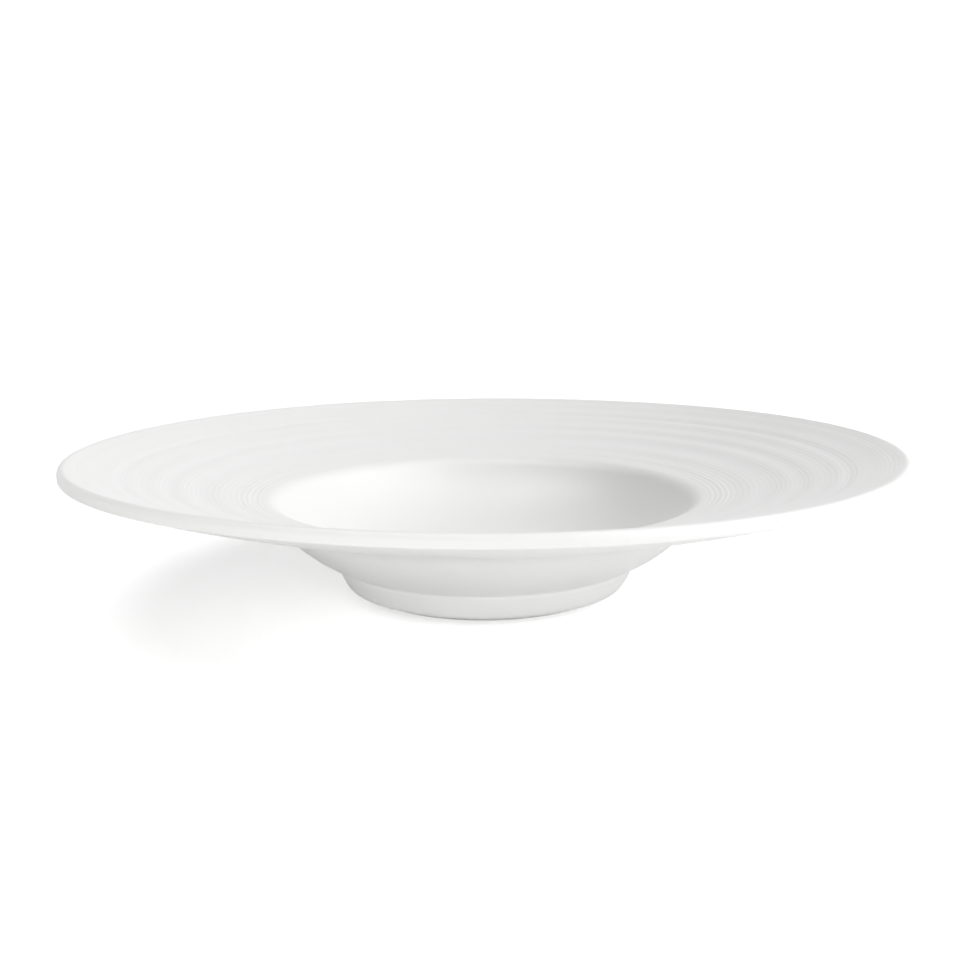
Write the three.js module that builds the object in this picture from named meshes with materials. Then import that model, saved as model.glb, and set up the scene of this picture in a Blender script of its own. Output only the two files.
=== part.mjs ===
// A deep plate in white porcelain: a broad rim with turned rings, a small round well and a foot.
// The fired clay is one solid. Its glaze is two coats, parted by the bare ring that the plate
// stands on. Millimetres, +Z up, with the table at z = 0 and the plate's axis on Z.
import * as THREE from 'three';

// Overall sizes, on the finished, glazed surface
const plateDiameter = 290;
const plateHeight = 53.8;

// Well: a flat floor, a round wall, and the edge where the rim begins
const wellDiameter = 150;
const wellEdgeHeight = 35.4;
const wellEdgeRound = 3.5;
const floorDiameter = 68;
const floorHeight = 12;
const floorThickness = 4.8;
const wallThickness = 4.3;

// Rim: a cone that dips a little below its straight line
const rimDip = 1.4;
const rimThickness = 4.4;
const underRimFillet = 7;

// Lip: the rim's upright edge, rolled over at the top and barely softened at its lower corner.
// The drop is how far the roll stays below the end of the rim's own line.
const lipInset = 1.4;
const lipDrop = 0.27;
const lipWidth = 2.8;
const lipHeight = 2.3;
const lipPull = 0.62;
const lipCorner = 0.5;

// Turned rings on the rim, from the well outwards: how broad each is and how deep its groove
const rings = [
  { breadth: 4, depth: 0.05 },
  { breadth: 9, depth: 0.13 },
  { breadth: 13, depth: 0.27 },
  { breadth: 8.5, depth: 0.23 },
  { breadth: 8, depth: 0.12 },
  { breadth: 6, depth: 0.2 },
  { breadth: 8, depth: 0.08 },
  { breadth: 4.1, depth: 0.05 },
];
const plainBandAtWell = 2;
const plainBandAtLip = 2.5;

// Foot: it leaves the well's wall at a crease, leans in, and turns under to a flat ring
const creaseDiameter = 108;
const creaseRound = 0.4;
const footLean = 4.1;
const footBulge = 1.05;
const footUndercurve = 0.32;
const standDiameter = 84.7;
const standWidth = 4.2;
const recessLean = 2;
const recessFillet = 2.4;

// Glaze: it stops a little above the table, so the ring that stands on the table is bare
const glazeThickness = 0.3;
const bondGap = 0.01;
const bareHeight = 0.8;
const bareBevel = 2.1;
const bareInnerBevel = 0.6;

// Facets
const facetsAround = 48;
const wallSteps = 3;
const bowlSteps = 5;
const footSteps = 4;
const lipSteps = 4;
const underSteps = 3;
const roundSteps = 2;

// Radii and heights that follow from the sizes above
const plateRadius = plateDiameter / 2;
const wellRadius = wellDiameter / 2;
const floorRadius = floorDiameter / 2;
const creaseRadius = creaseDiameter / 2;
const standRadius = standDiameter / 2;
const recessHeight = floorHeight - floorThickness;
const rimEndRadius = plateRadius - lipInset;
const rimEndHeight = plateHeight + lipDrop;

// The well's wall is an arc that leaves the floor level and passes through the well's edge.
// The outside of the wall is an arc about the same centre.
const wellRun = wellRadius - floorRadius;
const wellRise = wellEdgeHeight - floorHeight;
const bowlRadius = (wellRun ** 2 + wellRise ** 2) / (2 * wellRise);
const bowlCentreHeight = floorHeight + bowlRadius;
const bowlEdgeAngle = Math.atan2(wellRun, bowlRadius - wellRise);
const outerBowlRadius = bowlRadius + wallThickness;

const point = (radius, height) => new THREE.Vector2(radius, height);

// A point of the bowl's arc, at an angle measured from straight below its centre
function onBowl(radius, angle) {
  const across = floorRadius + radius * Math.sin(angle);
  return point(across, bowlCentreHeight - radius * Math.cos(angle));
}

// Points of the bowl's arc from one angle to another, with both ends
function bowlArc(radius, from, to, steps) {
  const points = [];
  for (let i = 0; i <= steps; i++) {
    points.push(onBowl(radius, THREE.MathUtils.lerp(from, to, i / steps)));
  }
  return points;
}

// A corner rounded by a curve that leaves one line at start and joins the other at end
function roundedCorner(start, corner, end) {
  return new THREE.QuadraticBezierCurve(start, corner, end).getPoints(roundSteps);
}

// Height of the rim's face without its rings
function rimFace(radius) {
  const along = (radius - wellRadius) / (rimEndRadius - wellRadius);
  const straight = THREE.MathUtils.lerp(wellEdgeHeight, rimEndHeight, along);
  return straight - 4 * rimDip * along * (1 - along);
}

const onRim = (radius) => point(radius, rimFace(radius));
const underRim = (radius) => point(radius, rimFace(radius) - rimThickness);

// Where the outside of the wall meets the underside of the rim, found by halving the arc
function wallTopAngle() {
  let low = 0;
  let high = Math.PI / 2;
  for (let i = 0; i < 40; i++) {
    const middle = (low + high) / 2;
    const reached = onBowl(outerBowlRadius, middle);
    if (reached.y < underRim(reached.x).y) {
      low = middle;
    } else {
      high = middle;
    }
  }
  return low;
}

// The rim's rings, from the lip to the well: crests lie on the rim's face, grooves below it.
// The list's breadths share out the whole width between the two plain bands.
function ringedRim() {
  const inner = wellRadius + wellEdgeRound + plainBandAtWell;
  const outer = rimEndRadius - plainBandAtLip;
  const listed = rings.reduce((sum, ring) => sum + ring.breadth, 0);
  const share = (outer - inner) / listed;
  const points = [onRim(inner)];
  for (const { breadth, depth } of rings) {
    const crest = points.at(-1).x + share * breadth;
    const groove = crest - share * breadth / 2;
    points.push(point(groove, rimFace(groove) - depth));
    points.push(onRim(crest));
  }
  return points.toReversed();
}

// The underside of the rim, from the fillet at the wall to the lip
function underSpan(start) {
  const points = [];
  for (let i = 1; i < underSteps; i++) {
    points.push(underRim(THREE.MathUtils.lerp(start, plateRadius - lipCorner, i / underSteps)));
  }
  return points;
}

// The lip, from its lower corner up the edge and over to the rim's face
function lip() {
  const lower = underRim(plateRadius);
  const cornerEnd = point(plateRadius, lower.y + lipCorner);
  const edgeTop = point(plateRadius, plateHeight - lipHeight);
  const onFace = onRim(plateRadius - lipWidth);
  const upper = onRim(plateRadius);
  const fromEdge = edgeTop.clone().lerp(upper, lipPull);
  const fromFace = onFace.clone().lerp(upper, lipPull);
  return [
    ...roundedCorner(underRim(plateRadius - lipCorner), lower, cornerEnd),
    ...new THREE.CubicBezierCurve(edgeTop, fromEdge, fromFace, onFace).getPoints(lipSteps),
  ];
}

// The foot's outside, from the glaze's end up to the start of the crease
function footSide(creaseStart) {
  const glazeEnd = point(standRadius + bareBevel, bareHeight);
  const height = creaseStart.y - glazeEnd.y;
  const leaned = creaseStart.x - footLean;
  const lower = point(leaned, glazeEnd.y + height * footUndercurve);
  const upper = point(leaned, creaseStart.y - height * footBulge);
  return new THREE.CubicBezierCurve(glazeEnd, lower, upper, creaseStart).getPoints(footSteps);
}

// The finished surface that the outer coat covers, from the foot, over the lip, to the axis
function outerSurface() {
  const creaseAngle = Math.asin((creaseRadius - floorRadius) / outerBowlRadius);
  const crease = onBowl(outerBowlRadius, creaseAngle);
  const creaseStart = point(crease.x, crease.y - creaseRound);
  const wallStart = creaseAngle + creaseRound / outerBowlRadius;
  const wallTop = wallTopAngle();
  const wallEnd = wallTop - underRimFillet / outerBowlRadius;
  const wallCorner = onBowl(outerBowlRadius, wallTop);
  const wellEdge = point(wellRadius, wellEdgeHeight);
  const edgeOnRim = wellRadius + wellEdgeRound;
  const edgeOnBowl = bowlEdgeAngle - wellEdgeRound / bowlRadius;
  const underEdge = underRim(wallCorner.x + underRimFillet);
  return [
    ...footSide(creaseStart),
    ...bowlArc(outerBowlRadius, wallStart, wallEnd, wallSteps),
    ...roundedCorner(onBowl(outerBowlRadius, wallEnd), wallCorner, underEdge).slice(1),
    ...underSpan(underEdge.x),
    ...lip(),
    ...ringedRim(),
    ...roundedCorner(onRim(edgeOnRim), wellEdge, onBowl(bowlRadius, edgeOnBowl)),
    ...bowlArc(bowlRadius, edgeOnBowl, 0, bowlSteps).slice(1),
    point(0, floorHeight),
  ];
}

// The finished surface inside the foot, from the axis to the glaze's end by the bare ring
function recessSurface() {
  const foot = point(standRadius - standWidth - bareInnerBevel, bareHeight);
  const top = point(foot.x - recessLean, recessHeight);
  const fillet = Math.min(recessFillet, (recessHeight - bareHeight) / 2);
  const onWall = top.clone().lerp(foot, fillet / top.distanceTo(foot));
  return [
    point(0, recessHeight),
    ...roundedCorner(point(top.x - fillet, recessHeight), top, onWall),
    foot,
  ];
}

// The same line moved into the clay by a distance. The clay is on the left of the line.
function movedIn(line, distance) {
  const edgeNormal = (a, b) => point(a.y - b.y, b.x - a.x).normalize();
  return line.map((here, i) => {
    const before = i > 0 ? edgeNormal(line[i - 1], here) : edgeNormal(here, line[1]);
    const after = i < line.length - 1 ? edgeNormal(here, line[i + 1]) : before;
    const middle = before.clone().add(after).normalize();
    return here.clone().addScaledVector(middle, distance / middle.dot(before));
  });
}

// A solid of revolution about Z, from an outline that runs anticlockwise
function turned(name, outline, material) {
  const geometry = new THREE.LatheGeometry(outline, facetsAround);
  geometry.rotateX(Math.PI / 2);
  const mesh = new THREE.Mesh(geometry, material);
  mesh.name = name;
  return mesh;
}

// The clay's outline lies under both coats and comes out between them, as the standing ring
const outerFinish = outerSurface();
const recessFinish = recessSurface();
const clayDepth = glazeThickness + bondGap;
const standingRing = [point(standRadius - standWidth, 0), point(standRadius, 0)];
const clay = [...movedIn(recessFinish, clayDepth), ...standingRing, ...movedIn(outerFinish, clayDepth)];
const outerCoat = [...movedIn(outerFinish, glazeThickness).toReversed(), ...outerFinish];
const recessCoat = [...recessFinish, ...movedIn(recessFinish, glazeThickness).toReversed()];

const bareClay = new THREE.MeshStandardMaterial({ color: 0xefece6, roughness: 0.85, metalness: 0 });
const satinGlaze = new THREE.MeshStandardMaterial({ color: 0xf6f6f5, roughness: 0.4, metalness: 0 });
const recessGlaze = new THREE.MeshStandardMaterial({ color: 0xf2f2f0, roughness: 0.44, metalness: 0 });

const plate = new THREE.Group();
plate.add(turned('porcelain_body', clay, bareClay));
plate.add(turned('outer_glaze', outerCoat, satinGlaze));
plate.add(turned('foot_recess_glaze', recessCoat, recessGlaze));

export default plate;
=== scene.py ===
# %% [markdown]
# # A deep plate in satin white porcelain
# A deep plate is a dish for soup or pasta: a small round well, a very broad rim and a foot under
# the middle. It is turned on a wheel, so this lesson draws one outline and spins it about an axis.
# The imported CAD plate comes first. It fixes where everything is, and its outer sizes are read from
# it, so the finer surfaces made here land where the solids are.

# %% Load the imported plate
import math

import bmesh
import bpy
import numpy as np
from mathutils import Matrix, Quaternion, Vector


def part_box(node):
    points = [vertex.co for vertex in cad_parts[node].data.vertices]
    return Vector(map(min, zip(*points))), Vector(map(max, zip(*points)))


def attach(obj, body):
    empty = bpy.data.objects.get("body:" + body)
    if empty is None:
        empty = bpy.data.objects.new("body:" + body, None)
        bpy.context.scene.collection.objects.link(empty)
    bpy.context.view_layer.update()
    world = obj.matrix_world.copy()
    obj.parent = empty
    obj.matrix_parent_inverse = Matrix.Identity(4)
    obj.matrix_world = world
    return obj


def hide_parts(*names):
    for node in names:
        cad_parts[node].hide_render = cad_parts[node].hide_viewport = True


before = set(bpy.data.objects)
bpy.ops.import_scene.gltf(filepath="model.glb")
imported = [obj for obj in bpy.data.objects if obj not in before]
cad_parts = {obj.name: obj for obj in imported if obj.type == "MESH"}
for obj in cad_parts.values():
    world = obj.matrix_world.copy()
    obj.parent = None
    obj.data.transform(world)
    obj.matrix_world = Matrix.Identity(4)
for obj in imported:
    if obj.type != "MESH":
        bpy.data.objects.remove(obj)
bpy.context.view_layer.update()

# %% [markdown]
# ## The camera
# The photograph looks at the plate from just above its rim, so the rim is a thin oval. The camera
# could be placed by eye, but a thin oval changes a lot with half a degree. So its place was worked
# out beforehand: a camera and the plate's profile were fitted together to the outlines of the rim,
# the well and the foot. What is left here is a point to look at, a tilt, a distance and a lens.

# %% Place the camera
mm = 0.001
looked_at = Vector((1.68 * mm, 0, 36.1 * mm))
view_tilt = math.radians(11.03)
view_distance = 406.2 * mm
camera_lean = math.radians(-0.40)

camera = bpy.data.objects.new("photo_camera", bpy.data.cameras.new("photo_camera"))
bpy.context.scene.collection.objects.link(camera)
towards_camera = Vector((0, -math.cos(view_tilt), math.sin(view_tilt)))
facing_plate = towards_camera.to_track_quat("Z", "Y")
camera.location = looked_at + view_distance * towards_camera
camera.rotation_mode = "QUATERNION"
camera.rotation_quaternion = facing_plate @ Quaternion((0, 0, 1), camera_lean)
camera.data.sensor_width = 36
camera.data.lens = 40.96
camera.data.clip_start = 0.01
bpy.context.scene.camera = camera
print("Camera at", [round(x, 4) for x in camera.location])

# %% [markdown]
# ## Sizes
# Potters work in millimetres, so the outline is drawn in them and turned into metres only when a
# mesh is made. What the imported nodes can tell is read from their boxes. The rest repeats the CAD's
# own named sizes: the well's arc, the thickness of the wall and the dip of the rim.

# %% Read and name the sizes
plate_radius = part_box("outer_glaze")[1].x / mm
plate_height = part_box("outer_glaze")[1].z / mm
glaze_end_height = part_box("outer_glaze")[0].z / mm
stand_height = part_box("porcelain_body")[0].z / mm

well_radius = 75
well_edge_height = 35.4
well_edge_round = 3.5
floor_radius = 34
floor_height = 12
floor_thickness = 4.8
wall_thickness = 4.3
rim_dip = 1.4
rim_thickness = 4.4
glaze_thickness = 0.3
print("Plate", round(2 * plate_radius, 1), "mm across and", round(plate_height, 1), "mm high")

# %% [markdown]
# ## Drawing tools
# Every part of the outline is an arc, a level line or a soft curve between two tangents. Blender's
# curve objects could hold them, but numbers are easier to offset and to measure. A soft curve is
# found by drawing points part of the way along its control lines, again and again, until one is
# left. The well and the outside of its wall are arcs about one centre, which keeps the wall even.


# %% Soft curves and level lines
def soft_curve(controls, steps):
    """Points from the first control to the last, pulled by those between."""
    part = np.linspace(0, 1, steps + 1)[:, None]
    rows = [np.array(c, float) + 0 * part for c in controls]
    while len(rows) > 1:
        rows = [a + (b - a) * part for a, b in zip(rows, rows[1:])]
    return rows[0]


def level_line(start, end, height, points):
    """Points at one height, evenly spaced from one radius to another."""
    return np.stack([np.linspace(start, end, points), np.full(points, height)], 1)


print("A soft curve of two steps:", soft_curve([(0, 0), (1, 0), (1, 1)], 2).tolist())

# %% The well's arc
well_run = well_radius - floor_radius
well_rise = well_edge_height - floor_height
bowl_radius = (well_run ** 2 + well_rise ** 2) / (2 * well_rise)
wall_radius = bowl_radius + wall_thickness


def bowl_arc(radius, start, end, steps):
    """Points of an arc about the bowl's centre, by angles from straight below it."""
    angle = np.linspace(start, end, steps + 1)
    across = floor_radius + radius * np.sin(angle)
    return np.stack([across, floor_height + bowl_radius - radius * np.cos(angle)], 1)


def on_bowl(radius, angle):
    """One point of such an arc."""
    return bowl_arc(radius, angle, angle, 0)[0]


print("The well's wall has a radius of", round(bowl_radius, 2), "mm")

# %% [markdown]
# ## Foot and wall
# The outline starts where the glaze stops, just above the table. The foot turns out from under,
# rises to a crease, and there the wall of the well sets off at a flatter angle. One curve with
# four controls gives the foot its full, slightly leaning side. A short curve softens the crease, as
# glaze does when it pools in a corner.

# %% Draw the foot and the crease
crease_radius = 54
crease_round = 0.9
foot_lean = 4.1
foot_undercurve = 0.32
foot_bulge = 1.05
stand_radius = 42.35
bare_bevel = 2.1
foot_steps, crease_steps = 28, 8

glaze_end = (stand_radius + bare_bevel, glaze_end_height)
crease_angle = math.asin((crease_radius - floor_radius) / wall_radius)
crease = on_bowl(wall_radius, crease_angle)
foot_top = crease - (0, crease_round)
foot_rise = foot_top[1] - glaze_end_height
leaned = foot_top[0] - foot_lean
foot_side = soft_curve([glaze_end,
                        (leaned, glaze_end_height + foot_undercurve * foot_rise),
                        (leaned, foot_top[1] - foot_bulge * foot_rise),
                        foot_top], foot_steps)
wall_start = crease_angle + crease_round / wall_radius
crease_curve = soft_curve([foot_top, crease, on_bowl(wall_radius, wall_start)], crease_steps)
print("Crease at", crease.round(2), "mm")

# %% [markdown]
# ## The underside of the rim
# Under the rim the surface follows its face at an even thickness. Where it meets the wall there is
# a corner that faces down, and the hand would feel it, so it has a large, soft fillet. The meeting
# point has no neat formula. Trying many points along the arc and taking the first that lies above
# the rim's underside is plain and exact enough.

# %% The rim's face and underside
lip_inset = 1.4
lip_drop = 0.27
rim_end = plate_radius - lip_inset


def rim_face(radius):
    """Height of the rim's face without its rings: a cone that dips a little."""
    along = (radius - well_radius) / (rim_end - well_radius)
    rise = plate_height + lip_drop - well_edge_height
    return well_edge_height + rise * along - 4 * rim_dip * along * (1 - along)


def under_rim(radius):
    """Points under the rim, at its thickness below the face."""
    return np.stack([radius, rim_face(radius) - rim_thickness], -1)


print("The rim's face ends", round(rim_face(rim_end), 2), "mm above the table")

# %% Draw the wall and the fillet
arc_tries = 20000
fillet_cut = 7
wall_steps, fillet_steps = 20, 14

tried_angle = np.linspace(crease_angle, math.pi / 2, arc_tries + 1)
tried = bowl_arc(wall_radius, crease_angle, math.pi / 2, arc_tries)
meeting = int(np.argmax(tried[:, 1] > under_rim(tried[:, 0])[:, 1]))
wall_end = tried_angle[meeting] - fillet_cut / wall_radius
wall = bowl_arc(wall_radius, wall_start, wall_end, wall_steps)
fillet_end = under_rim(tried[meeting, 0] + fillet_cut)
fillet = soft_curve([wall[-1], tried[meeting], fillet_end], fillet_steps)
print("Wall meets rim at", tried[meeting].round(2), "mm")

# %% [markdown]
# ## The lip
# The rim ends in an upright edge. Its top is rolled over, because it has to be pleasant to hold and
# must not chip. Its lower corner is only just softened, and in the photograph it throws a crisp line
# of shade. An ellipse round the edge would soften both alike, so each is a curve of its own. The top
# curve leaves the edge upright and arrives along the slope of the rim's face.

# %% Draw the lip's lower corner
lip_corner = 0.5
corner_steps, under_points = 8, 18

lower_corner = under_rim(plate_radius)
under_end = plate_radius - lip_corner
under_span = under_rim(np.linspace(fillet_end[0], under_end, under_points))
lip_foot = soft_curve([under_rim(under_end), lower_corner, lower_corner + (0, lip_corner)],
                      corner_steps)
print("Lower corner at", lower_corner.round(2), "mm")

# %% Draw the lip's rolled top
lip_width = 2.8
lip_height = 2.3
lip_pull = 0.62
lip_steps = 24

lip_start = np.array([plate_radius, plate_height - lip_height])
lip_end = np.array([plate_radius - lip_width, rim_face(plate_radius - lip_width)])
top_corner = np.array([plate_radius, rim_face(plate_radius)])
lip_top = soft_curve([lip_start,
                      lip_start + lip_pull * (top_corner - lip_start),
                      lip_end + lip_pull * (top_corner - lip_end),
                      lip_end], lip_steps)
highest = lip_top[:, 1].max()
print("Lip", round(highest - lower_corner[1], 2), "mm thick, highest at", round(highest, 2), "mm")

# %% [markdown]
# ## The turned rings
# The rim carries rings that a shaping tool left in the soft clay. Seen across the rim they are low
# waves, some broad and some narrow, with finer comb lines among them. They are about a quarter of a
# millimetre deep at most, and only the light from the side shows them. A bump map could fake them,
# but then the edge and the reflections stay smooth, so here they are real waves in the outline.

# %% Shape the rings
rings_start = 80.5
ring_breadths = [4.0, 9.0, 13.0, 8.5, 8.0, 6.0, 8.0, 4.1]
ring_depths = [0.05, 0.13, 0.27, 0.23, 0.12, 0.20, 0.08, 0.05]


def ring_depth(radius):
    """How far the rings lie below the rim's face, counted from the well outwards."""
    depth = np.zeros_like(radius)
    start = rings_start
    for breadth, deepest in zip(ring_breadths, ring_depths):
        part = np.clip((radius - start) / breadth, 0, 1)
        depth += deepest * (0.5 - 0.5 * np.cos(2 * math.pi * part))
        start += breadth
    return depth


print(len(ring_breadths), "rings over", round(sum(ring_breadths), 1), "mm")

# %% Comb the fine lines
# Each burst of lines: the radius of its middle, its reach, the lines' spacing and their height
comb_lines = [(84.5, 5.0, 1.80, 0.046),
              (94.0, 4.5, 1.90, 0.024),
              (104.5, 3.5, 1.50, 0.028),
              (113.5, 3.0, 1.50, 0.022),
              (120.5, 3.5, 1.70, 0.020),
              (127.0, 3.5, 1.60, 0.026),
              (138.5, 3.5, 1.40, 0.030)]


def comb_height(radius):
    """Fine lines in bursts that fade out to both sides."""
    height = np.zeros_like(radius)
    for middle, reach, spacing, high in comb_lines:
        fade = np.exp(-((radius - middle) / reach) ** 2)
        height += high * fade * np.cos(2 * math.pi * (radius - middle) / spacing)
    return height


print(len(comb_lines), "bursts of comb lines")

# %% [markdown]
# ## The rim's face and the well
# From the lip inwards the outline takes a point every 0.3 mm, because the comb lines are little more
# than a millimetre apart. The well's edge is rounded over, its wall follows the arc, and the floor
# is flat. The comb lines are left out of a second, plainer version of the face, from which the
# inside of the glaze and the clay are taken.

# %% Draw the face and the well
point_spacing = 0.3
edge_steps, well_steps, floor_points = 12, 36, 8


def plate_face(with_comb):
    """The outline from the lip's inside to the plate's axis."""
    edge_start = well_radius + well_edge_round
    radius = np.arange(lip_end[0] - point_spacing, edge_start, -point_spacing)
    height = rim_face(radius) - ring_depth(radius)
    if with_comb:
        height += comb_height(radius)
    edge_angle = math.atan2(well_run, bowl_radius - well_rise) - well_edge_round / bowl_radius
    well_wall = bowl_arc(bowl_radius, edge_angle, 0, well_steps)
    edge = soft_curve([(edge_start, rim_face(edge_start)), (well_radius, well_edge_height),
                       well_wall[0]], edge_steps)
    floor = level_line(floor_radius, 0, floor_height, floor_points)
    return np.vstack([np.stack([radius, height], 1), edge, well_wall[1:], floor[1:]])


outside = np.vstack([foot_side, crease_curve[1:], wall[1:], fillet[1:],
                     under_span[1:], lip_foot[1:], lip_top])
glazed_face = np.vstack([outside, plate_face(True)])
plain_face = np.vstack([outside, plate_face(False)])
print(len(glazed_face), "points in the glazed outline")

# %% [markdown]
# ## A line moved inwards
# Glaze is a coat of even thickness, so its inside is its outside moved along the surface's own
# normals. Scaling the outline would thin it in some places and thicken it in others. At each point
# the two neighbouring pieces give a normal each, and the move goes along the line between them. The
# clay lies a hair deeper than the coat. Nobody sees either, so they keep every fourth point.


# %% Move a line inwards
def moved_in(line, distance):
    """The line moved to its left, which is where the clay is."""
    step = np.diff(line, axis=0)
    normal = np.stack([-step[:, 1], step[:, 0]], 1) / np.linalg.norm(step, axis=1)[:, None]
    before = np.vstack([normal[:1], normal])
    after = np.vstack([normal, normal[-1:]])
    middle = before + after
    middle /= np.linalg.norm(middle, axis=1)[:, None]
    return line + middle * distance / (middle * before).sum(1)[:, None]


bond_gap = 0.02
clay_depth = glaze_thickness + bond_gap
kept_of_inside = 4
coat_inside = moved_in(plain_face, glaze_thickness)[::kept_of_inside]
clay_face = moved_in(plain_face, clay_depth)[::kept_of_inside]
print("The coat's inside has", len(coat_inside), "points")

# %% [markdown]
# ## The lathe
# Blender's Screw modifier spins a chain of edges about an axis, which is just what a lathe does. A
# Weld modifier then closes the seam and joins the points on the axis to one. Both are applied, so a
# plain mesh is left.

# %% Build the lathe
spin_steps = 192
weld_distance = 1e-6


def spun(name, outline):
    """A closed solid from an outline in mm that starts and ends on the axis."""
    chain = bpy.data.meshes.new(name)
    edges = [(i, i + 1) for i in range(len(outline) - 1)]
    chain.from_pydata([(r, 0, z) for r, z in np.array(outline) * mm], edges, [])
    piece = bpy.data.objects.new(name, chain)
    bpy.context.scene.collection.objects.link(piece)
    lathe = piece.modifiers.new("lathe", "SCREW")
    lathe.steps = lathe.render_steps = spin_steps
    lathe.use_merge_vertices = True
    lathe.merge_threshold = weld_distance
    lathe.use_normal_flip = True
    weld = piece.modifiers.new("weld", "WELD")
    weld.merge_threshold = weld_distance
    graph = bpy.context.evaluated_depsgraph_get()
    piece.data = bpy.data.meshes.new_from_object(piece.evaluated_get(graph))
    piece.data.name = name
    piece.modifiers.clear()
    piece.data.shade_smooth()
    return piece


print("The lathe takes", spin_steps, "steps round")

# %% [markdown]
# ## A little kiln warp
# No fired plate is quite flat. The rim of this one rises and falls by a fraction of a millimetre,
# which shows only in its outline. A Simple Deform modifier can't make such a wave, so the points
# are moved by a formula: nothing in the middle, most at the lip. A second helper measures a piece,
# and its count of open edges shows whether the solid is closed.

# %% Warp a piece
saddle_warp = 0.18
three_wave_warp = 0.22


def points_of(piece):
    """The points of a piece, in metres."""
    flat = np.empty(3 * len(piece.data.vertices))
    piece.data.vertices.foreach_get("co", flat)
    return flat.reshape(-1, 3)


def warp(piece):
    """Lifts and lowers the rim as firing does."""
    place = points_of(piece)
    turn = np.arctan2(place[:, 0], -place[:, 1])
    away = np.hypot(place[:, 0], place[:, 1]) / mm
    reach = np.clip((away - crease_radius) / (plate_radius - crease_radius), 0, 1) ** 2
    drop = saddle_warp * np.sin(2 * turn) + three_wave_warp * np.sin(3 * turn)
    place[:, 2] -= drop * reach * mm
    piece.data.vertices.foreach_set("co", place.ravel())
    piece.data.update()


print("The rim moves by at most", round(saddle_warp + three_wave_warp, 2), "mm")


# %% Measure a piece
def describe(piece):
    """Prints the size of a piece and whether it is closed."""
    mesh = bmesh.new()
    mesh.from_mesh(piece.data)
    open_edges = sum(not edge.is_manifold for edge in mesh.edges)
    volume = mesh.calc_volume(signed=True) / mm ** 3
    print(piece.name, len(mesh.verts), "points,", open_edges, "open edges,", round(volume), "mm3")
    mesh.free()


print("Measuring helper ready")

# %% [markdown]
# ## The outer coat of glaze
# One skin of glaze covers the well, the rim, the lip, the wall and the foot's side. Its end above
# the table is a small roll, because melted glaze draws back from a wiped edge and stands up round.
# The solid goes out along its inside, round the roll, and back along its face.

# %% Spin the outer coat
roll_steps = 8


def rolled_end(start, end):
    """A half circle from one point to another, ends left out, on the right of the way."""
    turn = np.linspace(0, math.pi, roll_steps + 1)[1:-1, None]
    middle = (start + end) / 2
    arm = start - middle
    outwards = np.array([arm[1], -arm[0]])
    return middle + arm * np.cos(turn) + outwards * np.sin(turn)


coat_middle = [(0, floor_height - glaze_thickness)]
coat_roll = rolled_end(coat_inside[0], glazed_face[0])
outer_coat = spun("glaze_coat", np.vstack([coat_middle, coat_inside[::-1], coat_roll, glazed_face]))
warp(outer_coat)
describe(outer_coat)

# %% [markdown]
# ## The coat inside the foot
# The hollow under the plate has a coat of its own, because the ring that stands on the kiln shelf is
# wiped clean: glaze there would stick. It is a shallow dish with a soft corner, and its edge
# is rolled like the other one.

# %% Draw the hollow
recess_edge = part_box("foot_recess_glaze")[1].x / mm - glaze_thickness
recess_height = floor_height - floor_thickness
recess_lean = 2
recess_corner_cut = 2.4
recess_points, recess_corner_steps, recess_side_steps = 14, 12, 8

recess_top = np.array([recess_edge - recess_lean, recess_height])
recess_foot = np.array([recess_edge, glaze_end_height])
recess_side = recess_foot - recess_top
corner_start = recess_top - (recess_corner_cut, 0)
corner_end = recess_top + recess_side * recess_corner_cut / np.linalg.norm(recess_side)
recess_corner = soft_curve([corner_start, recess_top, corner_end], recess_corner_steps)
recess_flat = level_line(0, corner_start[0], recess_height, recess_points)
recess_wall = soft_curve([corner_end, recess_foot], recess_side_steps)
recess_face = np.vstack([recess_flat, recess_corner[1:], recess_wall[1:]])
print("Recess", round(2 * recess_edge, 2), "mm across,", round(recess_height, 2), "mm deep")

# %% Spin its coat
recess_inside = moved_in(recess_face, glaze_thickness)
recess_roll = rolled_end(recess_face[-1], recess_inside[-1])
recess_outline = np.vstack([recess_face, recess_roll, recess_inside[::-1]])
recess_coat = spun("recess_glaze_coat", recess_outline)
warp(recess_coat)
describe(recess_coat)

# %% [markdown]
# ## The clay
# The fired clay lies under both coats and comes out between them as the bare ring that the plate
# stands on. Its outline is the two faces moved in a little further than the glaze, joined by the
# ring. The ring's edges are ground round, so they get small curves of their own.

# %% Draw the standing ring
stand_width = 4.2
grind_round = 0.5
inner_grind_steps, outer_grind_steps, ring_points = 6, 8, 8

clay_recess = moved_in(recess_face, clay_depth)
ring_inside = stand_radius - stand_width
inner_grind = soft_curve([clay_recess[-1], (ring_inside, stand_height),
                          (ring_inside + grind_round, stand_height)], inner_grind_steps)
outer_grind = soft_curve([(stand_radius - grind_round, stand_height),
                          (stand_radius, stand_height), clay_face[0]], outer_grind_steps)
ring_flat = level_line(inner_grind[-1, 0], outer_grind[0, 0], stand_height, ring_points)
print("Standing ring", round(stand_width - 2 * grind_round, 2), "mm wide between its ground edges")

# %% Spin the clay
clay_middle = [(0, floor_height - clay_depth)]
clay_outline = np.vstack([clay_recess, inner_grind[1:], ring_flat[1:-1], outer_grind,
                          clay_face[1:], clay_middle])
clay_body = spun("fired_clay", clay_outline)
warp(clay_body)
describe(clay_body)
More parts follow.
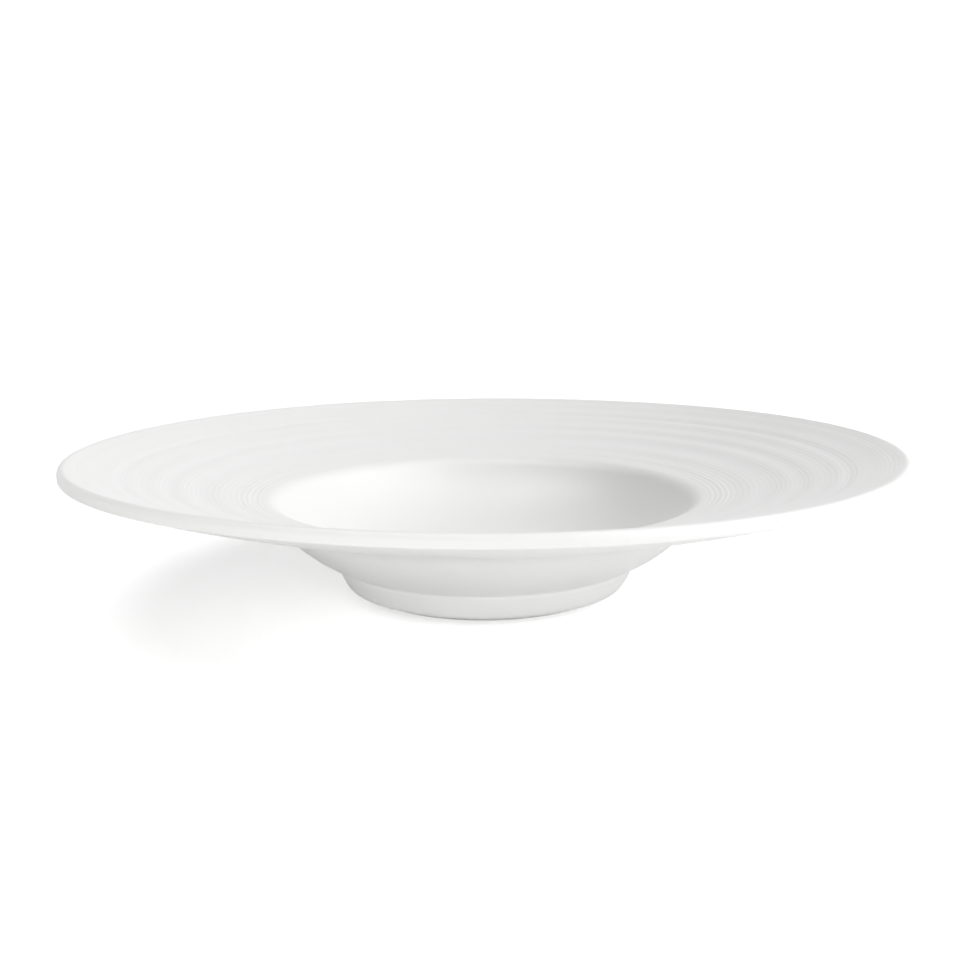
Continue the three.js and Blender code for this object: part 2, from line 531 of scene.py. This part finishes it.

# %% [markdown]
# ## Tell the frame what stands for what
# Each fine piece takes the place of one imported node and rides on the plate's only body.

# %% Register the pieces
for piece, node_name, finish in ((outer_coat, "outer_glaze", "satin_glaze"),
                                 (recess_coat, "foot_recess_glaze", "recess_glaze"),
                                 (clay_body, "porcelain_body", "fired_porcelain")):
    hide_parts(node_name)
    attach(piece, "root")
    print(piece.name, "stands for", node_name)

# %% [markdown]
# ## How deep the glaze lies
# Glaze runs off crests and gathers in grooves while it is melted, and where it is deeper it looks a
# little cooler. The shape knows where that is, so each point of the coat stores its depth in the
# rings as an attribute, which the material then reads.

# %% Store the pooling
place = points_of(outer_coat) / mm
radius = np.hypot(place[:, 0], place[:, 1])
on_top = place[:, 2] > rim_face(radius) - rim_thickness / 2
on_rings = on_top & (radius > rings_start)
pooled = np.where(on_rings, ring_depth(radius) / max(ring_depths), 0)
pooling = outer_coat.data.attributes.new("pooling", "FLOAT", "POINT")
pooling.data.foreach_set("value", pooled.astype(np.float32))
print("Glaze pools on", round(100 * float((pooled > 0.5).mean()), 1), "% of the points")

# %% [markdown]
# ## Material tools
# A material is a small network of nodes. Wiring each by hand would bury the ideas, so short helpers
# do it: they add a node and set its sockets by name, do sums, make noise, and turn noise into tones,
# into a range of values or into bumps.


# %% Helpers that add nodes
def add(tree, kind, **sockets):
    """A new node with its sockets set."""
    made = tree.nodes.new(kind)
    for name, value in sockets.items():
        made.inputs[name.replace("_", " ")].default_value = value
    return made


def maths(tree, operation, *values):
    """The result of a sum with sockets and plain numbers."""
    made = add(tree, "ShaderNodeMath")
    made.operation = operation
    for socket, value in zip(made.inputs, values):
        if isinstance(value, bpy.types.NodeSocket):
            tree.links.new(value, socket)
        else:
            socket.default_value = value
    return made.outputs["Value"]


def start_material(name):
    """A material, its node tree and its shader."""
    material = bpy.data.materials.new(name)
    material.use_nodes = True
    return material, material.node_tree, material.node_tree.nodes["Principled BSDF"]


def noise(tree, scale, detail):
    """Noise over the object's own coordinates, in metres."""
    where = add(tree, "ShaderNodeTexCoord")
    made = add(tree, "ShaderNodeTexNoise", Scale=scale, Detail=detail)
    tree.links.new(where.outputs["Object"], made.inputs["Vector"])
    return made.outputs["Fac"]


print("Helpers for nodes ready")

# %% Helpers that use a factor
tone_start, tone_end = 0.35, 0.65
noise_low, noise_high = 0.3, 0.7
# A Mix node has sockets for every kind of value, so those for colours are taken by number
mix_factor, mix_first, mix_second, mixed_colour = 0, 6, 7, 2


def two_tones(tree, factor, first, second):
    """A colour that drifts from one tone to another as the factor rises."""
    ramp = add(tree, "ShaderNodeValToRGB")
    start, end = ramp.color_ramp.elements
    start.position, end.position = tone_start, tone_end
    start.color, end.color = (*first, 1), (*second, 1)
    tree.links.new(factor, ramp.inputs["Fac"])
    return ramp.outputs["Color"]


def spread(tree, factor, low, high):
    """A factor stretched to lie between two values."""
    made = add(tree, "ShaderNodeMapRange", From_Min=noise_low, From_Max=noise_high,
               To_Min=low, To_Max=high)
    tree.links.new(factor, made.inputs["Value"])
    return made.outputs["Result"]


def blended(tree, factor, first, second):
    """Two colours mixed by a factor."""
    made = add(tree, "ShaderNodeMix")
    made.data_type = "RGBA"
    tree.links.new(factor, made.inputs[mix_factor])
    tree.links.new(first, made.inputs[mix_first])
    tree.links.new(second, made.inputs[mix_second])
    return made.outputs[mixed_colour]


def bumped(tree, height, strength, distance, below=None):
    """A normal from a height, on top of another normal if there is one."""
    made = add(tree, "ShaderNodeBump", Strength=strength, Distance=distance)
    tree.links.new(height, made.inputs["Height"])
    if below:
        tree.links.new(below, made.inputs["Normal"])
    return made.outputs["Normal"]


print("Helpers for tones and bumps ready")

# %% [markdown]
# ## Satin glaze
# The glaze is white and softly shiny: it shows broad, blurred lights and no sharp ones, because tiny
# crystals roughen its surface. Its white drifts a little, it is a shade cooler where it pools, and
# close up it has the soft dimples of an orange's peel and finer ones on them. A plain white shader
# would look like plaster, so each of these is a layer of its own.

# %% Colour the satin glaze
glaze_ior = 1.5
most_pooled = 0.6

glaze, tree, shader = start_material("satin_white_glaze")
shader.inputs["IOR"].default_value = glaze_ior
thin_glaze = two_tones(tree, noise(tree, scale=14, detail=3),
                       (0.912, 0.912, 0.904), (0.926, 0.926, 0.920))
deep_glaze = two_tones(tree, noise(tree, scale=60, detail=2),
                       (0.904, 0.908, 0.903), (0.917, 0.921, 0.916))
depth = add(tree, "ShaderNodeAttribute")
depth.attribute_name = "pooling"
depth_share = spread(tree, depth.outputs["Fac"], 0, most_pooled)
tree.links.new(blended(tree, depth_share, thin_glaze, deep_glaze), shader.inputs["Base Color"])
print(glaze.name, "has two whites")

# %% Roughen and dimple it
satin = spread(tree, noise(tree, scale=45, detail=4), 0.36, 0.44)
tree.links.new(satin, shader.inputs["Roughness"])
peel = bumped(tree, noise(tree, scale=420, detail=2), strength=0.10, distance=0.06 * mm)
dimples = bumped(tree, noise(tree, scale=2600, detail=3), strength=0.12, distance=0.02 * mm,
                 below=peel)
tree.links.new(dimples, shader.inputs["Normal"])
outer_coat.data.materials.append(glaze)
print(glaze.name, "has", len(tree.nodes), "nodes")

# %% [markdown]
# ## Glaze under the foot
# The same glaze is thinner and less even inside the foot, where a brush or a dip leaves faint rings.
# The rings come from the distance to the axis: the length of the coordinate with its height taken
# out, run through a wave.


# %% Make the recess glaze
def rings_by_radius(tree, spacing):
    """A wave that runs outwards from the plate's axis."""
    where = add(tree, "ShaderNodeTexCoord")
    flat = add(tree, "ShaderNodeVectorMath")
    flat.operation = "MULTIPLY"
    flat.inputs[1].default_value = (1, 1, 0)
    away = add(tree, "ShaderNodeVectorMath")
    away.operation = "LENGTH"
    tree.links.new(where.outputs["Object"], flat.inputs[0])
    tree.links.new(flat.outputs["Vector"], away.inputs[0])
    turns = maths(tree, "MULTIPLY", away.outputs["Value"], 2 * math.pi / spacing)
    return maths(tree, "SINE", turns)


under_glaze, tree, shader = start_material("recess_white_glaze")
shader.inputs["IOR"].default_value = glaze_ior
uneven_white = two_tones(tree, noise(tree, scale=30, detail=4),
                         (0.87, 0.868, 0.855), (0.893, 0.893, 0.884))
tree.links.new(uneven_white, shader.inputs["Base Color"])
satin = spread(tree, noise(tree, scale=70, detail=4), 0.38, 0.5)
tree.links.new(satin, shader.inputs["Roughness"])
brush_rings = bumped(tree, rings_by_radius(tree, 2.6 * mm), strength=0.05, distance=0.08 * mm)
dimples = bumped(tree, noise(tree, scale=500, detail=3), strength=0.12, distance=0.06 * mm,
                 below=brush_rings)
tree.links.new(dimples, shader.inputs["Normal"])
recess_coat.data.materials.append(under_glaze)
print(under_glaze.name, "has", len(tree.nodes), "nodes")

# %% [markdown]
# ## Bare porcelain
# Unglazed porcelain is a dense, slightly warm white with a dry, matt touch. The standing ring is
# ground after firing, which leaves fine circles, and use leaves greyish rubs. A fine grain, patches
# of a greyer tone and the same radius wave, set finer, give these.

# %% Make the bare porcelain
clay_ior = 1.48

bare, tree, shader = start_material("bare_fired_porcelain")
shader.inputs["IOR"].default_value = clay_ior
grain = two_tones(tree, noise(tree, scale=3500, detail=4),
                  (0.82, 0.80, 0.755), (0.875, 0.86, 0.825))
rubbed = two_tones(tree, noise(tree, scale=900, detail=2),
                   (0.66, 0.65, 0.63), (0.76, 0.75, 0.73))
rub_patches = spread(tree, noise(tree, scale=130, detail=5), -0.9, 0.75)
tree.links.new(blended(tree, rub_patches, grain, rubbed), shader.inputs["Base Color"])
matt = spread(tree, noise(tree, scale=260, detail=3), 0.72, 0.9)
tree.links.new(matt, shader.inputs["Roughness"])
ground_circles = bumped(tree, rings_by_radius(tree, 0.24 * mm), strength=0.25, distance=0.02 * mm)
dry_grain = bumped(tree, noise(tree, scale=5200, detail=4), strength=0.3, distance=0.03 * mm,
                   below=ground_circles)
tree.links.new(dry_grain, shader.inputs["Normal"])
clay_body.data.materials.append(bare)
print(bare.name, "has", len(tree.nodes), "nodes")

# %% [markdown]
# ## The white sweep
# The plate stands on a white sweep: a floor that curves up into a wall, so there is no horizon. It
# lies a tenth of a millimetre under the foot, because two faces in one plane flicker. A plane and a
# bevel could make it too, but its profile is drawn as the plate's was and drawn out sideways.

# %% Build the sweep
sweep_gap = 0.1 * mm
sweep_bend = 0.9
sweep_half_width = 6.0
sweep_front, sweep_back, sweep_top = -5.0, 2.6, 4.5
bend_steps = 24

turn = np.linspace(0, math.pi / 2, bend_steps + 1)
bend = np.stack([sweep_back - sweep_bend + sweep_bend * np.sin(turn),
                 sweep_bend - sweep_bend * np.cos(turn) - sweep_gap], 1)
sweep_line = np.vstack([[(sweep_front, -sweep_gap)], bend, [(sweep_back, sweep_top)]])
sides = [(side * sweep_half_width, y, z) for y, z in sweep_line for side in (-1, 1)]
strips = [(2 * i, 2 * i + 1, 2 * i + 3, 2 * i + 2) for i in range(len(sweep_line) - 1)]
sweep_mesh = bpy.data.meshes.new("white_sweep")
sweep_mesh.from_pydata(sides, [], strips)
sweep_mesh.shade_smooth()
sweep = bpy.data.objects.new("white_sweep", sweep_mesh)
bpy.context.scene.collection.objects.link(sweep)
print("Sweep of", len(strips), "strips")

# %% [markdown]
# ## Paint for the sweep
# Bright matt paper scatters the lamps' light back up under the plate, which is why the foot is so
# light. The lamps alone would leave the paper a pale grey. To the camera it glows just enough to be
# white: less round the plate, so that the plate's shadow still shows, and more towards the wall,
# which the lamps hardly reach. Reflections see little of the glow close by, because the underside of
# the rim mirrors the shaded paper and is darker than the wall.

# %% Paint the sweep
paper, tree, shader = start_material("white_paper")
shader.inputs["Roughness"].default_value = 1.0
shader.inputs["Specular IOR Level"].default_value = 0.0
fibres = two_tones(tree, noise(tree, scale=900, detail=3),
                   (0.97, 0.97, 0.97), (0.985, 0.985, 0.985))
tree.links.new(fibres, shader.inputs["Base Color"])
sweep.data.materials.append(paper)

ray = add(tree, "ShaderNodeLightPath")
spot = add(tree, "ShaderNodeTexCoord")
length = add(tree, "ShaderNodeVectorMath")
length.operation = "LENGTH"
tree.links.new(spot.outputs["Object"], length.inputs[0])
from_plate = length.outputs["Value"]
print("Paper has", len(tree.nodes), "nodes so far")

# %% Let the paper glow
near_glow, near_mirrored_glow, far_glow = 0.56, 0.15, 0.95
glow_near, glow_far = 0.3, 1.6


def any_of(tree, *factors):
    """The largest of several factors."""
    largest = factors[0]
    for factor in factors[1:]:
        largest = maths(tree, "MAXIMUM", largest, factor)
    return largest


def paper_glow(near, seen):
    """Glow that grows from the plate to the wall, for one kind of ray."""
    grows = add(tree, "ShaderNodeMapRange", From_Min=glow_near, From_Max=glow_far,
                To_Min=near, To_Max=far_glow)
    tree.links.new(from_plate, grows.inputs["Value"])
    return maths(tree, "MULTIPLY", grows.outputs["Result"], seen)


mirrored = any_of(tree, ray.outputs["Is Glossy Ray"], ray.outputs["Is Transmission Ray"])
glow = any_of(tree, paper_glow(near_glow, ray.outputs["Is Camera Ray"]),
              paper_glow(near_mirrored_glow, mirrored))
shader.inputs["Emission Color"].default_value = (1, 1, 1, 1)
tree.links.new(glow, shader.inputs["Emission Strength"])
print("Paper glows by", near_glow, "to", far_glow, "for the camera")

# %% [markdown]
# ## A look from below
# The underside should be seen too, but the floor is in the way. It could be taken out for such
# views, but then the light would change. So the paper is see-through to a camera under it. A round
# hole that the foot hides lets the light of a lamp under the table into the hollow.

# %% Let the camera look through from below
hole_margin = 1
hole_radius = (stand_radius - hole_margin) * mm

side_seen = add(tree, "ShaderNodeNewGeometry")
from_below = maths(tree, "MULTIPLY", side_seen.outputs["Backfacing"], ray.outputs["Is Camera Ray"])
in_hole = maths(tree, "LESS_THAN", from_plate, hole_radius)
clear = add(tree, "ShaderNodeBsdfTransparent")
either = add(tree, "ShaderNodeMixShader")
tree.links.new(any_of(tree, from_below, in_hole), either.inputs["Fac"])
tree.links.new(shader.outputs["BSDF"], either.inputs[1])
tree.links.new(clear.outputs["BSDF"], either.inputs[2])
tree.links.new(either.outputs["Shader"], tree.nodes["Material Output"].inputs["Surface"])
print("Paper has", len(tree.nodes), "nodes")

# %% [markdown]
# ## The room
# The world is the white tent round the table. It is pure white to the camera and in reflections. It
# could light the plate too, but light from all sides hides low relief, so that is left to lamps.

# %% Put up the tent
world = bpy.data.worlds.new("white_tent")
bpy.context.scene.world = world
world.use_nodes = True
tree = world.node_tree
backdrop = tree.nodes["Background"]
ray = add(tree, "ShaderNodeLightPath")
seen = any_of(tree, ray.outputs["Is Camera Ray"], ray.outputs["Is Glossy Ray"],
              ray.outputs["Is Transmission Ray"])
backdrop.inputs["Color"].default_value = (1, 1, 1, 1)
tree.links.new(seen, backdrop.inputs["Strength"])
print(world.name, "has", len(tree.nodes), "nodes")

# %% [markdown]
# ## Softboxes
# Two large softboxes on the right, one of them towards the front, are the main light. They leave the
# right half of the well in shade, and they graze the rim, which shows the rings. Two more hang above
# and fill in. A low, slightly warm strip at the left front reaches under the rim to the wall and the
# foot, and a small lamp under the table lights only the hollow inside the foot. One sun lamp would be
# simpler, but its hard shadow would hide the wall. The strengths were found by lighting the plate
# with one lamp at a time and comparing the sums with the photograph.

# %% Hang the softboxes
aimed_at = Vector((0, 0, 0.03))
pure_white = (1, 1, 1)
warm_white = (1, 0.998, 0.985)


def softbox(name, place, width, height, watts, tint=pure_white):
    """A rectangular lamp that faces the plate."""
    lamp = bpy.data.lights.new(name, "AREA")
    lamp.shape = "RECTANGLE"
    lamp.size, lamp.size_y = width, height
    lamp.energy = watts
    lamp.color = tint
    holder = bpy.data.objects.new(name, lamp)
    holder.location = place
    holder.rotation_mode = "QUATERNION"
    holder.rotation_quaternion = (Vector(place) - aimed_at).to_track_quat("Z", "Y")
    holder.visible_camera = False
    bpy.context.scene.collection.objects.link(holder)
    print(name, watts, "watts at", place)


softbox("softbox_right_front", (0.879, -0.879, 0.410), 0.8, 1.2, watts=7.0)
softbox("softbox_right", (1.205, 0.0, 0.517), 0.8, 0.8, watts=7.2)
softbox("softbox_high_right", (0.708, 0.0, 1.120), 0.8, 0.8, watts=3.8)
softbox("softbox_high_left", (-0.402, 0.0, 1.266), 0.8, 0.8, watts=7.0)
softbox("strip_left_front", (-0.400, -0.693, 0.026), 1.2, 0.045, watts=2.6, tint=warm_white)
softbox("lamp_under_table", (0.0, 0.0, -0.6), 0.4, 0.4, watts=2.6)

# %% [markdown]
# ## Finish
# The view transform is the plain one, so a white of 0.9 stays one.

# %% Finish
bpy.context.scene.view_settings.view_transform = "Standard"
